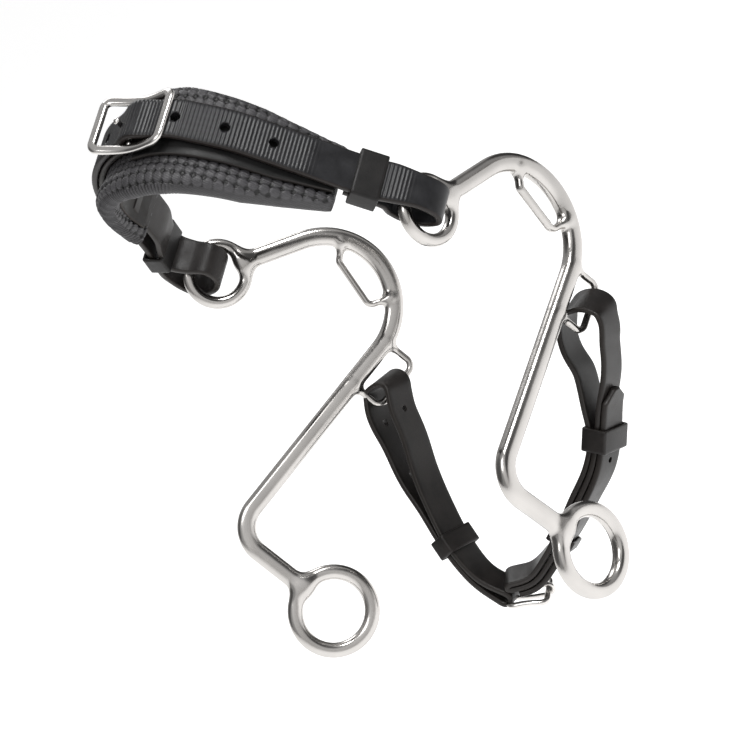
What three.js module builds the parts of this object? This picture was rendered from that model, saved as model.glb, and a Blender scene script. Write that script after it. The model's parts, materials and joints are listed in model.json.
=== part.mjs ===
// A bitless hackamore: two S-shaped steel levers (shanks) with a nose ring at the top
// and a rein ring at the bottom, joined by a padded noseband above and a curb strap behind.
//
// Frame: millimetres, +Z up, +X towards the horse's left, -Y towards the front of the nose.
// The origin is where the noseband's lining rests on the bridge of the nose.
import * as THREE from "three";

const GAP = 0.3;                      // clearance between neighbouring pieces

// ---- shank (lever), drawn in its own plane: +x to the rear, +y up, nose ring at 0,0 ----
const BAR = { width: 8.4, depth: 7 };
const NOSE_RING = { radius: 12.9, wire: 5.8 };
const REIN_RING = { radius: 17.4, wire: 6.7 };
const UPPER_ANGLE = 20.5;             // the bar leaves the nose ring this far above level
const ARM_ANGLE = -128.9;             // and comes back down along this direction
const LOWER_ANGLE = -38.4;            // and ends in the rein ring along this one
const TOP_BEND = { corner: [144, 55], radius: 31 };
const LOW_BEND = { corner: [7, -114.8], radius: 14 };
const REIN_CENTRE = [51.9, -150];
const LOOP_WIRE = 3;                  // cheek slot and curb loop stock
const CHEEK_SLOT = { from: [57.8, 10.4], inner: [[54.6, 5.9], [68.2, -13.6]], to: [74.6, -11], depth: 5 };
const CURB_LOOP = { legs: [-4.5, 20], reach: 16.5, depth: 3 };   // legs measured along the arm

// ---- how the two shanks hang: nose ring centre and turn of each shank's plane ----
const RING_SPAN = 130;
const HINGE_DROP = [0, 42.5, -72.6];      // from the origin to the middle of the hinge line
const LEFT_TURN = [86.5, 4.3, 61.8];  // degrees about Y, X, Z in that order
const RIGHT_TURN = [73.6, 33.1, 47.6];

// ---- noseband ----
const ARCH_TILT = 118.3;              // turns the arch's own XY plane up over the nose
const STRAP = { width: 18.5, thick: 2.6, pinch: 2.8 };   // pinched in at the nose rings
const PAD = { width: 50, end: 27, shift: 3 };
const LAYER = { strap: 0, backing: 3, cover: 5.6, core: 9, lining: 12.3 };
const THICK = { cover: 1.8, core: 4.4, lining: 1.5 };

// ---- curb strap ----
const CURB = { width: 16, thick: 2.6, slack: 1.6 };   // slack above the loop's bar

const STEEL = { color: 0xc9c6c2, roughness: 0.18, metalness: 1 };
const LEATHER = { color: 0x1f1c1b, roughness: 0.55, metalness: 0 };
const RIBBED = { color: 0x4a4a4c, roughness: 0.45, metalness: 0 };
const WOVEN = { color: 0x3d3b3d, roughness: 0.7, metalness: 0 };
const LINING = { color: 0x2d2a29, roughness: 0.8, metalness: 0 };

const rad = THREE.MathUtils.degToRad;
const vec = (x, y, z = 0) => new THREE.Vector3(x, y, z);

function piece(name, geometry, look) {
  const mesh = new THREE.Mesh(geometry, new THREE.MeshStandardMaterial(look));
  mesh.name = name;
  return mesh;
}

// A line through the corners with each inner corner rounded, as a list of stops {at, along}.
function roundedStops(corners, radii, arcStep = 12) {
  const stops = [];
  corners.forEach((corner, i) => {
    const before = corners[i - 1];
    const after = corners[i + 1];
    if (!before || !after) {
      const along = (after ? after.clone().sub(corner) : corner.clone().sub(before)).normalize();
      stops.push({ at: corner.clone(), along });
      return;
    }
    const a = corner.clone().sub(before).normalize();
    const b = after.clone().sub(corner).normalize();
    const turn = a.angleTo(b);
    const radius = radii[i - 1] ?? radii[0];
    const axis = a.clone().cross(b).normalize();
    const start = corner.clone().addScaledVector(a, -radius * Math.tan(turn / 2));
    const centre = start.clone().addScaledVector(axis.clone().cross(a), radius);
    const steps = Math.max(2, Math.ceil(turn / rad(arcStep)));
    for (let k = 0; k <= steps; k++) {
      const angle = turn * k / steps;
      const at = start.clone().sub(centre).applyAxisAngle(axis, angle).add(centre);
      stops.push({ at, along: a.clone().applyAxisAngle(axis, angle) });
    }
  });
  return stops;
}

// Stops evenly spaced on a smooth curve through the points.
function smoothStops(points, count) {
  const curve = new THREE.CatmullRomCurve3(points, false, "centripetal");
  return Array.from({ length: count + 1 }, (_, i) => ({
    at: curve.getPointAt(i / count),
    along: curve.getTangentAt(i / count).normalize(),
  }));
}

// Bends a straight unit bar (length along Y) so that it follows the stops. across(i) is the
// direction of the section's width at stop i, and size(i) gives its half width and half depth.
function bend(bar, stops, across, size) {
  const geometry = bar.clone();
  const position = geometry.attributes.position;
  for (let v = 0; v < position.count; v++) {
    const i = Math.round((position.getY(v) + 0.5) * (stops.length - 1));
    const { at, along } = stops[i];
    const side = across(i).clone().addScaledVector(along, -across(i).dot(along)).normalize();
    const face = side.clone().cross(along);
    const [halfWidth, halfDepth] = size(i);
    const p = at.clone()
      .addScaledVector(side, position.getX(v) * halfWidth)
      .addScaledVector(face, position.getZ(v) * halfDepth);
    position.setXYZ(v, p.x, p.y, p.z);
  }
  geometry.deleteAttribute("uv");
  geometry.computeVertexNormals();
  return geometry;
}

const roundBar = (stops, sides) => new THREE.CylinderGeometry(1, 1, 1, sides, stops.length - 1);
const flatBar = (stops) => new THREE.BoxGeometry(2, 1, 2, 1, stops.length - 1, 1);

// A strap or pad layer: a flat bar whose width runs along `across`.
function strap(stops, width, thick, across = () => vec(0, 0, 1)) {
  const half = typeof width === "function" ? width : () => width / 2;
  return bend(flatBar(stops), stops, across, (i) => [half(i), thick / 2]);
}

// ---- shank ----
const heading = (degrees) => vec(Math.cos(rad(degrees)), Math.sin(rad(degrees)));
const armDirection = heading(ARM_ANGLE);
const armSide = vec(-armDirection.y, armDirection.x);          // towards the jaw
const armTop = vec(...TOP_BEND.corner).addScaledVector(armDirection,
  TOP_BEND.radius * Math.tan(rad(UPPER_ANGLE - ARM_ANGLE) / 2));

function shank(side, ringAt, turn) {
  const upper = heading(UPPER_ANGLE);
  const lower = heading(LOWER_ANGLE);
  const noseReach = NOSE_RING.radius + NOSE_RING.wire / 2 + GAP;
  const reinReach = REIN_RING.radius + REIN_RING.wire / 2 + GAP;
  const inPlane = () => vec(0, 0, 1);
  const bar = roundedStops([
    vec(...TOP_BEND.corner).addScaledVector(upper,
      -vec(...TOP_BEND.corner).dot(upper) + noseReach),
    vec(...TOP_BEND.corner),
    vec(...LOW_BEND.corner),
    vec(...REIN_CENTRE).addScaledVector(lower, -reinReach),
  ], [TOP_BEND.radius, LOW_BEND.radius]);
  const slot = roundedStops([CHEEK_SLOT.from, ...CHEEK_SLOT.inner, CHEEK_SLOT.to].map((p) => vec(...p)),
    [3, 3], 30);
  const reach = [BAR.width / 2 + GAP + 0.2, CURB_LOOP.reach];
  const loopCorner = (leg, out) => armTop.clone()
    .addScaledVector(armDirection, CURB_LOOP.legs[leg]).addScaledVector(armSide, reach[out]);
  const curb = roundedStops([loopCorner(0, 0), loopCorner(0, 1), loopCorner(1, 1), loopCorner(1, 0)],
    [3.5, 3.5], 30);

  const group = new THREE.Group();
  const noseRing = piece(`${side}_nose_ring`,
    new THREE.TorusGeometry(NOSE_RING.radius, NOSE_RING.wire / 2, 10, 30), STEEL);
  const reinRing = piece(`${side}_rein_ring`,
    new THREE.TorusGeometry(REIN_RING.radius, REIN_RING.wire / 2, 10, 32), STEEL);
  reinRing.position.set(...REIN_CENTRE, 0);
  group.add(
    piece(`${side}_shank_bar`,
      bend(roundBar(bar, 12), bar, inPlane, () => [BAR.depth / 2, BAR.width / 2]), STEEL),
    noseRing,
    reinRing,
    piece(`${side}_cheek_slot`,
      bend(flatBar(slot), slot, inPlane, () => [CHEEK_SLOT.depth / 2, LOOP_WIRE / 2]), STEEL),
    piece(`${side}_curb_loop`,
      bend(roundBar(curb, 8), curb, inPlane, () => [CURB_LOOP.depth / 2, LOOP_WIRE / 2]), STEEL),
  );
  group.position.copy(ringAt);
  group.rotation.set(rad(turn[1]), rad(turn[0]), rad(turn[2]), "YXZ");
  return group;
}

// ---- noseband: an arch in its own XY plane, with the strap's width along Z ----
const ARCH = [[71, 13], [65.6, 20.6], [58, 29], [43, 54], [26, 81], [9, 95.5], [-9, 99.5], [-30, 96.5],
  [-47, 86.5], [-58.5, 72], [-64, 58], [-67, 46], [-69.4, 36]].map(([x, y]) => vec(x, y));
const archCurve = new THREE.CatmullRomCurve3(ARCH, false, "centripetal");
const archLength = archCurve.getLength();

// Stops on the arch from one distance to another (mm from its left end), set in by `depth`.
function archStops(from, to, depth, shift = 0) {
  const count = Math.max(2, Math.round((to - from) / 6));
  return Array.from({ length: count + 1 }, (_, i) => {
    const u = (from + (to - from) * i / count) / archLength;
    const along = archCurve.getTangentAt(u).normalize();
    const inward = vec(-along.y, along.x);
    return { at: archCurve.getPointAt(u).addScaledVector(inward, depth).add(vec(0, 0, shift)), along };
  });
}

// The pad is widest over the bridge of the nose and narrows towards both ends.
function padLayer(name, [from, to], depth, thick, trim, look) {
  const stops = archStops(from, to, depth, PAD.shift);
  const count = stops.length - 1;
  const half = (i) => {
    const share = THREE.MathUtils.smoothstep(Math.min(i, count - i) / count, 0, 0.36);
    return (PAD.end + (PAD.width - PAD.end) * share) / 2 - trim;
  };
  return piece(name, strap(stops, half, thick), look);
}

// A leather loop round a stack of straps, its mouth along Y, centred at x, y and turned in plane.
function keeper(name, x, y, angle, stack, width, length) {
  const wall = 1.6;
  const outer = new THREE.Shape();
  const w = width / 2 + 0.5;
  const t = stack / 2 + 0.4;
  outer.moveTo(-w - wall, -t - wall);
  outer.lineTo(w + wall, -t - wall);
  outer.lineTo(w + wall, t + wall);
  outer.lineTo(-w - wall, t + wall);
  outer.closePath();
  const mouth = new THREE.Path();
  mouth.moveTo(-w, -t);
  mouth.lineTo(-w, t);
  mouth.lineTo(w, t);
  mouth.lineTo(w, -t);
  mouth.closePath();
  outer.holes.push(mouth);
  const geometry = new THREE.ExtrudeGeometry(outer, { depth: length, bevelEnabled: false });
  geometry.translate(0, 0, -length / 2);
  const mesh = piece(name, geometry, LEATHER);
  // section x -> strap width (Z), extrusion -> along the strap
  const along = heading(angle);
  const face = vec(-along.y, along.x);
  mesh.quaternion.setFromRotationMatrix(
    new THREE.Matrix4().makeBasis(vec(0, 0, 1), face.clone().negate(), along));
  mesh.position.set(x, y, 0);
  return mesh;
}

const BUCKLE_AT = 121;                // where the centre bar sits along the arch
const TAIL_END = 176;                 // the left strap's tail ends here, past the shoulder
const PAD_ENDS = [32, 196];

function noseband() {
  const group = new THREE.Group();
  // left strap: from its tail, up over the centre bar, down to the left nose ring and back inside
  const lift = (s) => -4 * Math.exp(-(((s - BUCKLE_AT) / 8) ** 2));
  const outerRun = [];
  for (let s = TAIL_END; s >= 8; s -= 6) {
    outerRun.push(archStops(s, s + 1, LAYER.strap + lift(s))[0].at);
  }
  const leftLoop = [[71, 13], [73.8, 7], [74.2, 1.8], [71.6, -1.4], [67, -1], [62, 2], [58.4, 7],
    [57, 12.8], [58.6, 18.6], [55, 27.2], [50.8, 34]];
  const leftStrap = smoothStops([...outerRun, ...leftLoop.map(([x, y]) => vec(x, y))], 120);
  // right strap: from under the buckle down to the right nose ring and back inside
  const rightRun = [];
  for (let s = BUCKLE_AT + 1; s <= 192; s += 7) {
    rightRun.push(archStops(s, s + 1, LAYER.strap + STRAP.thick + 0.4)[0].at);
  }
  const rightLoop = [[-70.2, 34.4], [-73, 28.6], [-76.8, 22.2], [-80.2, 15.4], [-80.8, 7.6], [-78, 0],
    [-71, -2.6], [-63.8, -0.8], [-59, 4.4], [-59, 10.8], [-66, 15.4], [-71.2, 21.2], [-70.2, 27.4], [-67.6, 34]];
  const rightStrap = smoothStops([...rightRun, ...rightLoop.map(([x, y]) => vec(x, y))], 90);
  const pinched = (stops) => (i) => (STRAP.width - STRAP.pinch *
    (1 - THREE.MathUtils.smoothstep(stops[i].at.y, 10, 24))) / 2;
  const backing = archStops(46, BUCKLE_AT - 4, LAYER.backing, PAD.shift);

  group.add(
    piece("left_nose_strap", strap(leftStrap, pinched(leftStrap), STRAP.thick), RIBBED),
    piece("right_nose_strap", strap(rightStrap, pinched(rightStrap), STRAP.thick), LEATHER),
    piece("pad_backing_strap", strap(backing, STRAP.width + 5, 2.2), LEATHER),
    padLayer("pad_cover", PAD_ENDS, LAYER.cover + 0.8, THICK.cover, 0, WOVEN),
    padLayer("pad_core", PAD_ENDS, LAYER.core + 0.8, THICK.core, 2, LINING),
    padLayer("pad_lining", PAD_ENDS, LAYER.lining + 0.8, THICK.lining, 1, LINING),
    keeper("left_nose_keeper", 56.4, 27.8, -57, 7.8, STRAP.width, 12),
    keeper("right_nose_keeper", -71.5, 27.8, 61, 10.2, STRAP.width, 10),
    ...conwayBuckle(),
  );
  return group;
}

// The noseband's flat buckle: an oblong frame, a bar across its middle and a short stud.
const NOSE_BUCKLE = { length: 38, width: 27, wire: 4, depth: 3, at: [-8, 103.4], heading: 168 };

// An oblong frame lying in XY, its length along X.
function buckleFrame({ length, width, wire, depth }) {
  const shape = new THREE.Shape();
  roundRectangle(shape, length, width, wire);
  const hole = new THREE.Path();
  roundRectangle(hole, length - 2 * wire, width - 2 * wire, wire / 2);
  shape.holes.push(hole);
  const frame = new THREE.ExtrudeGeometry(shape, { depth, bevelEnabled: false, curveSegments: 3 });
  return frame.translate(0, 0, -depth / 2);
}

// Turns and places a group: its X runs along, its Z faces out.
function place(group, along, out, at) {
  const z = out.clone().addScaledVector(along, -out.dot(along)).normalize();
  group.quaternion.setFromRotationMatrix(new THREE.Matrix4().makeBasis(along, z.clone().cross(along), z));
  group.position.copy(at);
  return group;
}

function conwayBuckle() {
  const { width, wire, heading: angle, at } = NOSE_BUCKLE;
  const bar = piece("nose_buckle_bar",
    new THREE.CylinderGeometry(1.4, 1.4, width - 2 * wire + 2, 10), STEEL);
  const stud = piece("nose_buckle_stud", new THREE.CylinderGeometry(1.5, 1.7, 1.6, 10), STEEL);
  bar.position.z = -3.4;
  stud.rotation.x = Math.PI / 2;
  stud.position.z = 2.6;
  const buckle = new THREE.Group();
  buckle.add(piece("nose_buckle_frame", buckleFrame(NOSE_BUCKLE), STEEL), bar, stud);
  const along = heading(angle);
  return [place(buckle, along, vec(along.y, -along.x), vec(...at))];
}

function roundRectangle(path, length, width, r) {
  const x = length / 2;
  const y = width / 2;
  path.moveTo(-x + r, -y);
  path.lineTo(x - r, -y);
  path.absarc(x - r, -y + r, r, -Math.PI / 2, 0, false);
  path.lineTo(x, y - r);
  path.absarc(x - r, y - r, r, 0, Math.PI / 2, false);
  path.lineTo(-x + r, y);
  path.absarc(-x + r, y - r, r, Math.PI / 2, Math.PI, false);
  path.lineTo(-x, -y + r);
  path.absarc(-x + r, -y + r, r, Math.PI, 1.5 * Math.PI, false);
  path.closePath();
}

// ---- curb strap: two doubled halves that hang from the curb loops and meet at a buckle ----
// Each route runs from the buckle up to the curb loop, in mm from the middle of the hinge line.
// spread is how far each run lies from the route, and faces say which way the strap's width runs.
const RIGHT_HALF = {
  route: [[7.6, -14.8, -172], [-1, -15.2, -163], [-9, -12, -148.2], [-15.8, -5, -132],
    [-21.4, 1.4, -118], [-25, 9.2, -104], [-26.4, 16.6, -93.2], [-26.5, 20.9, -83.6]],
  spread: [1.6, 1.6, 1.6, 2.4, 3.6, 4.2, 4.2, 4],
  faces: [[0.1, -0.9, -0.4], [-0.5, -0.8, -0.15], [-0.69, -0.7, -0.05], [-0.6, -0.78, -0.2], [-0.5, -0.8, -0.3]],
};
const LEFT_HALF = {
  route: [[20.5, -8.4, -176.6], [27.5, -2, -170], [36, 6, -161.8], [45, 14.4, -153], [54.8, 23.4, -143],
    [60.4, 29.4, -132.5], [64.4, 34.6, -119], [67.8, 39.8, -105.5], [71, 46, -95.5], [73.2, 49, -88],
    [73.7, 48.5, -81]],
  spread: [1.6, 1.6, 1.6, 1.6, 1.6, 1.6, 3.2, 5.4, 5.8, 5.2, 4.5],
  faces: [[0.3, -0.6, -0.7], [0.42, -0.25, -0.8], [0.51, 0.1, -0.83], [0.6, 0.3, -0.7], [0.65, 0.4, -0.6],
    [0.64, 0.36, -0.6], [0.55, 0.1, -0.6], [0.35, -0.4, -0.55], [0.1, -0.85, -0.45], [0, -0.9, -0.42],
    [0, -0.9, -0.42]],
};
// The strap's pointed tail lies over the left half's front run, from below the keeper to above it.
const TAIL = { from: 10 / 3, to: 19 / 3, steps: 9, lift: 3.9 };
const CURB_BUCKLE = { length: 20, width: 24, wire: 3, depth: 2.6 };

// The face direction a share of the way up a half, blended between the listed ones.
function faceAt(faces, share) {
  const spot = Math.min(Math.max(share, 0), 1) * (faces.length - 1);
  const i = Math.min(Math.floor(spot), faces.length - 2);
  return vec(...faces[i]).lerp(vec(...faces[i + 1]), spot - i).normalize();
}

// Where the route is at one of its points, with the strap's three directions there.
function routeFrame({ route, faces, spread }, i) {
  const last = route.length - 1;
  const curve = new THREE.CatmullRomCurve3(route.map((p) => vec(...p)), false, "centripetal");
  const along = curve.getTangent(i / last).normalize();
  const across = faceAt(faces, i / last);
  across.addScaledVector(along, -across.dot(along)).normalize();
  const k = Math.min(Math.floor(i), last - 1);
  return {
    at: curve.getPoint(i / last),
    along,
    across,
    out: across.clone().cross(along),
    gap: THREE.MathUtils.lerp(spread[k], spread[k + 1], i - k),
  };
}

// One run of strap beside a route, `lift` further out than its spread, from one route point to another.
function runStops(half, sign, lift, from, to, count) {
  return Array.from({ length: count + 1 }, (_, k) => {
    const { at, across, out, gap } = routeFrame(half, THREE.MathUtils.lerp(from, to, k / count));
    return { at: at.addScaledVector(out, sign * (gap + lift)), across };
  });
}

// Gives each stop its direction of travel, from the stops either side of it.
function aimStops(stops) {
  stops.forEach((stop, i) => {
    stop.along = stops[Math.min(i + 1, stops.length - 1)].at.clone()
      .sub(stops[Math.max(i - 1, 0)].at).normalize();
  });
  return stops;
}

// A strap that runs up one side of its route, turns over round the curb loop's bar, which lies
// across the route's end, and comes back down the other side.
function doubledStrap(side, half) {
  const last = half.route.length - 1;
  const steps = 3 * last;
  const back = runStops(half, -1, 0, 0, last, steps);
  const front = runStops(half, 1, 0, last, 0, steps);
  const end = routeFrame(half, last);
  const across = faceAt(half.faces, 1);
  const up = end.along.clone().addScaledVector(across, -end.along.dot(across)).normalize();
  const turn = [30, 60, 90, 120, 150].map((degrees) => ({
    at: end.at.clone()
      .addScaledVector(across.clone().cross(up), -end.gap * Math.cos(rad(degrees)))
      .addScaledVector(up, (end.gap + CURB.slack) * Math.sin(rad(degrees))),
    across,
  }));
  const stops = aimStops([...back, ...turn, ...front]);
  return piece(`${side}_curb_strap`, strap(stops, CURB.width, CURB.thick, (i) => stops[i].across), LEATHER);
}

// A keeper round the layers that lie from `low` to `high` of the route.
function curbKeeper(name, half, i, low, high, length) {
  const { at, along, across, out } = routeFrame(half, i);
  const band = keeper(name, 0, 0, 0, high - low, CURB.width + 1, length);
  band.quaternion.setFromRotationMatrix(new THREE.Matrix4().makeBasis(across, out.clone().negate(), along));
  band.position.copy(at).addScaledVector(out, (low + high) / 2);
  return band;
}

function curbStrap() {
  const layer = (spread) => spread + CURB.thick / 2 + 0.4;
  const top = layer(3.6 + TAIL.lift);
  const group = new THREE.Group();
  const tailStops = aimStops(runStops(LEFT_HALF, 1, TAIL.lift, TAIL.from, TAIL.to, TAIL.steps));
  const tailHalf = (k) => (k === TAIL.steps ? 1.5 : CURB.width / 2);
  group.add(
    doubledStrap("right", RIGHT_HALF),
    doubledStrap("left", LEFT_HALF),
    piece("curb_strap_tail", strap(tailStops, tailHalf, CURB.thick, (k) => tailStops[k].across), LEATHER),
    curbKeeper("right_curb_keeper", RIGHT_HALF, 2, -layer(1.7), layer(1.7), 9),
    curbKeeper("left_curb_keeper", LEFT_HALF, 4.75, -layer(2.4), top, 10),
    curbKeeper("curb_buckle_keeper", LEFT_HALF, 1.7, -layer(1.7), layer(1.7), 5),
  );
  const buckle = new THREE.Group();
  const tongue = piece("curb_buckle_tongue", new THREE.CylinderGeometry(1, 1.1, 18, 8), STEEL);
  tongue.rotation.z = Math.PI / 2;
  tongue.position.set(0.5, 0, 2.9);
  buckle.add(piece("curb_buckle_frame", buckleFrame(CURB_BUCKLE), STEEL), tongue);
  group.add(place(buckle, vec(0.86, 0.42, -0.3).normalize(), vec(-0.3, -0.1, -0.95), vec(15, -11.6, -179.5)));
  return group;
}

const hingeLine = vec(...HINGE_DROP);
const nose = noseband();
nose.rotation.x = rad(ARCH_TILT);
nose.position.copy(hingeLine);

const hackamore = new THREE.Group();
hackamore.add(
  nose,
  shank("left", hingeLine.clone().add(vec(RING_SPAN / 2, 0)), LEFT_TURN),
  shank("right", hingeLine.clone().add(vec(-RING_SPAN / 2, 0)), RIGHT_TURN),
);
const curb = curbStrap();
curb.position.copy(hingeLine);
hackamore.add(curb);

export default hackamore;
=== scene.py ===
"""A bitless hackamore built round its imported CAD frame: cast steel shanks, a woven leather noseband
pad under a ribbed strap, and a doubled leather curb strap. Lengths are in millimetres until the
meshes are made, which are in metres, in the frame's own axes."""
import json
import math

import bpy
import numpy as np
from mathutils import Matrix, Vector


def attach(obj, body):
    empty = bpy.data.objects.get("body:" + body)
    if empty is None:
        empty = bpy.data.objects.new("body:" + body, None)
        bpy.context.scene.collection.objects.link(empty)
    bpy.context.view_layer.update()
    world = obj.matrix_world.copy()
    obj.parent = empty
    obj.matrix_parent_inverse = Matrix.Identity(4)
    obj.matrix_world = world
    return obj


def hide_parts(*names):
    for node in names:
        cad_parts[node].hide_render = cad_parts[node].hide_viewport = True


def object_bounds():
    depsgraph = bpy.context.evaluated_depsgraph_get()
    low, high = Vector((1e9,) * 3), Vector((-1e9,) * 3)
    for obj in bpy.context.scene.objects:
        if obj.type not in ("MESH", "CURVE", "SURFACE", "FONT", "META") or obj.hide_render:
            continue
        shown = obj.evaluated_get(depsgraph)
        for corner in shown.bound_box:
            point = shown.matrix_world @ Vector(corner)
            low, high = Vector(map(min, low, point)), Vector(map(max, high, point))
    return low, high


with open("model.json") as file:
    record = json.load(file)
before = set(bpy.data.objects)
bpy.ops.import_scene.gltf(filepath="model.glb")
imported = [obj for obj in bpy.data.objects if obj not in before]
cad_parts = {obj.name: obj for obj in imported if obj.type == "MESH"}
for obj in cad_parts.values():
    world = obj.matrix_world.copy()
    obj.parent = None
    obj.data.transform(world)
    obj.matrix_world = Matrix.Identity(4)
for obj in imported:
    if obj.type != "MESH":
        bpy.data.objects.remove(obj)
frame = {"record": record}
cad_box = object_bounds()

MM = 0.001
JOINTS = {joint["name"]: joint for joint in frame["record"]["behaviour"]["joints"]}
NOSE_RING_LEFT = np.array(JOINTS["left_shank_hinge"]["pos_m"]) / MM
HINGE = NOSE_RING_LEFT * [0, 1, 1]           # middle of the line through both nose rings
RING_HALF_SPAN = NOSE_RING_LEFT[0]

# ---- camera: at the near shank's side, a little above it, tipped over to one side ----
LENS = 124.8
CAMERA_AT = HINGE + [769.6, -758.69, 264.27]
CAMERA_RIGHT = np.array([0.7057, 0.5144, -0.4873])
CAMERA_UP = np.array([0.1756, 0.5393, 0.8236])


# ---------------------------------------------------------------- small helpers
def unit(v):
    v = np.asarray(v, float)
    return v / np.linalg.norm(v, axis=-1, keepdims=True)


def heading(degrees):
    """A direction in the plane, at an angle from +X."""
    return np.array([math.cos(math.radians(degrees)), math.sin(math.radians(degrees))])


def smoothstep(x, low, high):
    """0 below low, 1 above high, and a smooth rise between."""
    t = np.clip((np.asarray(x, float) - low) / (high - low), 0, 1)
    return t * t * (3 - 2 * t)


def spline(points, step):
    """Points a step apart on a centripetal Catmull-Rom curve through the given ones."""
    p = np.asarray(points, float)
    p = np.vstack([2 * p[0] - p[1], p, 2 * p[-1] - p[-2]])
    out = []
    for i in range(1, len(p) - 2):
        a, b, c, d = p[i - 1:i + 3]
        t0 = 0.0
        t1 = max(np.linalg.norm(b - a) ** 0.5, 1e-6)
        t2 = t1 + max(np.linalg.norm(c - b) ** 0.5, 1e-6)
        t3 = t2 + max(np.linalg.norm(d - c) ** 0.5, 1e-6)
        for t in np.linspace(t1, t2, 24, endpoint=False):
            a1 = (t1 - t) / (t1 - t0) * a + (t - t0) / (t1 - t0) * b
            a2 = (t2 - t) / (t2 - t1) * b + (t - t1) / (t2 - t1) * c
            a3 = (t3 - t) / (t3 - t2) * c + (t - t2) / (t3 - t2) * d
            b1 = (t2 - t) / (t2 - t0) * a1 + (t - t0) / (t2 - t0) * a2
            b2 = (t3 - t) / (t3 - t1) * a2 + (t - t1) / (t3 - t1) * a3
            out.append((t2 - t) / (t2 - t1) * b1 + (t - t1) / (t2 - t1) * b2)
    out.append(p[-2])
    return resample(np.array(out), step)


def resample(points, step):
    """The same line with its points evenly spaced, about a step apart."""
    s = np.concatenate([[0], np.cumsum(np.linalg.norm(np.diff(points, axis=0), axis=1))])
    count = max(3, int(round(s[-1] / step)) + 1)
    at = np.linspace(0, s[-1], count)
    return np.stack([np.interp(at, s, points[:, k]) for k in range(points.shape[1])], 1)


def make(name, verts, faces, material, values=None):
    """A mesh object from points in millimetres; values is a 0 to 1 mix stored on its points, the rubbed cut
    edges on leather and the painted shade of the woven pad's gaps.
    """
    mesh = bpy.data.meshes.new(name)
    mesh.from_pydata((np.asarray(verts, float) * MM).tolist(), [], [list(map(int, f)) for f in faces])
    mesh.validate()
    mesh.polygons.foreach_set("use_smooth", [True] * len(mesh.polygons))
    if values is not None:
        attribute = mesh.attributes.new("edge_wear_and_gap_shade", "FLOAT", "POINT")
        attribute.data.foreach_set("value", np.asarray(values, np.float32))
    mesh.update()
    obj = bpy.data.objects.new(name, mesh)
    bpy.context.scene.collection.objects.link(obj)
    mesh.materials.append(material)
    return obj


def fit(obj, body, *nodes, slot):
    """Puts a piece on its body, in the place of its CAD nodes. slot is not used."""
    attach(obj, body)
    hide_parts(*nodes)


def set_matrix(obj, x, y, z, at):
    """Places an object by its three axes and its origin, in metres."""
    m = Matrix.Identity(4)
    for k, axis in enumerate((x, y, z)):
        for row in range(3):
            m[row][k] = axis[row]
    m.translation = [float(v) for v in at]
    obj.matrix_world = m


def grid_faces(rows, cols, closed=False):
    """Faces between rows of points, each row a loop; closed joins the last row to the first."""
    faces = []
    for i in range(rows if closed else rows - 1):
        for j in range(cols):
            k = (j + 1) % cols
            n = (i + 1) % rows
            faces.append((i * cols + j, i * cols + k, n * cols + k, n * cols + j))
    return faces


def tube_faces(rows, cols, closed=False):
    """grid_faces turned outwards, with a flat cap on each end of an open tube."""
    faces = [f[::-1] for f in grid_faces(rows, cols, closed)]
    if not closed:
        faces.append(tuple(range(cols)))
        faces.append(tuple(range((rows - 1) * cols, rows * cols))[::-1])
    return faces


def rounded_box(half_x, half_y, corner, count):
    """Points round a box with rounded corners, count of them on each corner, anticlockwise."""
    points = []
    for sx, sy, start in ((1, 1, 0), (-1, 1, 90), (-1, -1, 180), (1, -1, 270)):
        for a in np.linspace(start, start + 90, count):
            points.append((sx * (half_x - corner) + corner * math.cos(math.radians(a)),
                           sy * (half_y - corner) + corner * math.sin(math.radians(a))))
    return np.array(points)


# ---------------------------------------------------------------- materials
def material(name, base, roughness, metallic=0.0, **sockets):
    """A material, its node tree and its shader; other sockets are named with _ for a space."""
    m = bpy.data.materials.new(name)
    m.use_nodes = True
    shader = m.node_tree.nodes["Principled BSDF"]
    shader.inputs["Base Color"].default_value = (*base, 1)
    shader.inputs["Roughness"].default_value = roughness
    shader.inputs["Metallic"].default_value = metallic
    for key, value in sockets.items():
        shader.inputs[key.replace("_", " ")].default_value = value
    return m, m.node_tree, shader


def node(tree, kind, inputs, **settings):
    """A node with its inputs set or linked; settings are its own properties."""
    n = tree.nodes.new(kind)
    for key, value in settings.items():
        setattr(n, key, value)
    for key, value in inputs.items():
        if isinstance(value, bpy.types.NodeSocket):
            tree.links.new(value, n.inputs[key])
        else:
            n.inputs[key].default_value = value
    return n


def ramp(tree, factor, stops):
    """A colour that runs through (position, colour) stops."""
    n = node(tree, "ShaderNodeValToRGB", {"Fac": factor})
    elements = n.color_ramp.elements
    while len(elements) < len(stops):
        elements.new(0.5)
    for element, (position, colour) in zip(elements, stops):
        element.position = position
        element.color = (*colour, 1)
    return n.outputs["Color"]


def multiply(tree, first, second):
    mix = node(tree, "ShaderNodeMix", {"Factor": 1}, data_type="RGBA", blend_type="MULTIPLY")
    tree.links.new(first, mix.inputs["A"])
    tree.links.new(second, mix.inputs["B"])
    return mix.outputs["Result"]


def place(tree):
    return node(tree, "ShaderNodeTexCoord", {}).outputs["Object"]


def noise(tree, scale, detail, roughness=0.5):
    return node(tree, "ShaderNodeTexNoise", {"Vector": place(tree), "Scale": scale, "Detail": detail,
                "Roughness": roughness}).outputs["Fac"]


def uneven(tree, shader, cloud, low, high):
    """Roughness that follows the clouding, from low to high."""
    tree.links.new(node(tree, "ShaderNodeMapRange", {"Value": cloud, "From Min": 0.3, "From Max": 0.7,
                   "To Min": low, "To Max": high}).outputs["Result"], shader.inputs["Roughness"])


def bump(tree, shader, height, strength, distance, normal=None):
    """Fine relief on a shader, over an earlier bump's normal if there is one."""
    n = node(tree, "ShaderNodeBump", {"Height": height, "Strength": strength, "Distance": distance})
    if normal is not None:
        tree.links.new(normal, n.inputs["Normal"])
    tree.links.new(n.outputs["Normal"], shader.inputs["Normal"])
    return n.outputs["Normal"]


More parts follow.
